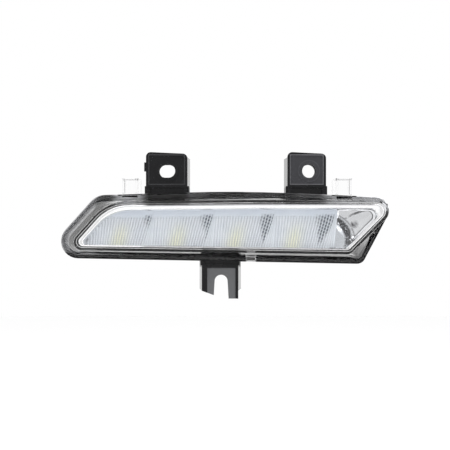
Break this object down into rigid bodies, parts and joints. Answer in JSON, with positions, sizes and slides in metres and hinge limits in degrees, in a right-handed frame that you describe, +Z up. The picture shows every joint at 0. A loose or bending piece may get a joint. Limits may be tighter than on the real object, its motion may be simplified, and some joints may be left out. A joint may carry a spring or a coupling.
{
  "type": "daytime running light",
  "caption": "Slim raked lamp for a bumper: clear lens over a chromed frame and fluted optic, black housing with two bored upper lugs and a forked lower lug.",
  "frame": {"origin": "middle of the round locating hole, on the front face of the right upper lug", "axes": "+X to the right as seen from in front of the lamp, +Y backwards into the car along the hole, +Z up; the lamp shines along -Y"},
  "size_m": [0.2098, 0.0635, 0.0938],
  "materials": {
    "housing_black": "moulded satin black",
    "lens_clear": "clear hard-coated polycarbonate",
    "seal_black": "cured sealant",
    "frame_chrome": "vacuum-metallised over plastic",
    "optic_milky": "milky clear, finely fluted",
    "reflector_chrome": "vacuum-metallised over plastic",
    "board_white": "white solder mask",
    "led_yellow": "yellow phosphor",
    "pad_grey": "soft thermal pad",
    "spreader_aluminium": "mill finish",
    "screw_steel": "zinc plated",
    "chip_black": "moulded epoxy",
    "ferrite_grey": "fired ferrite",
    "ceramic_tan": "fired ceramic",
    "terminal_tin": "tin plated",
    "membrane_white": "expanded film",
    "cap_black": "moulded"
  },
  "bodies": {
    "root": {"rear_housing": "housing_black", "outer_lens": "lens_clear", "lens_seal": "seal_black", "frame": "frame_chrome", "optic": "optic_milky", "reflector": "reflector_chrome", "led_board": "board_white", "led_1": "led_yellow", "led_2": "led_yellow", "led_3": "led_yellow", "led_4": "led_yellow", "thermal_pad": "pad_grey", "heat_spreader": "spreader_aluminium", "board_screw_1": "screw_steel", "board_screw_2": "screw_steel", "board_screw_3": "screw_steel", "board_screw_4": "screw_steel", "driver_chip": "chip_black", "power_inductor": "ferrite_grey", "input_capacitor": "ceramic_tan", "output_capacitor": "ceramic_tan", "protection_diode": "chip_black", "sense_resistor_1": "chip_black", "sense_resistor_2": "chip_black", "terminal_1": "terminal_tin", "terminal_2": "terminal_tin", "vent_membrane": "membrane_white", "vent_cap": "cap_black"}
  },
  "joints": []
}
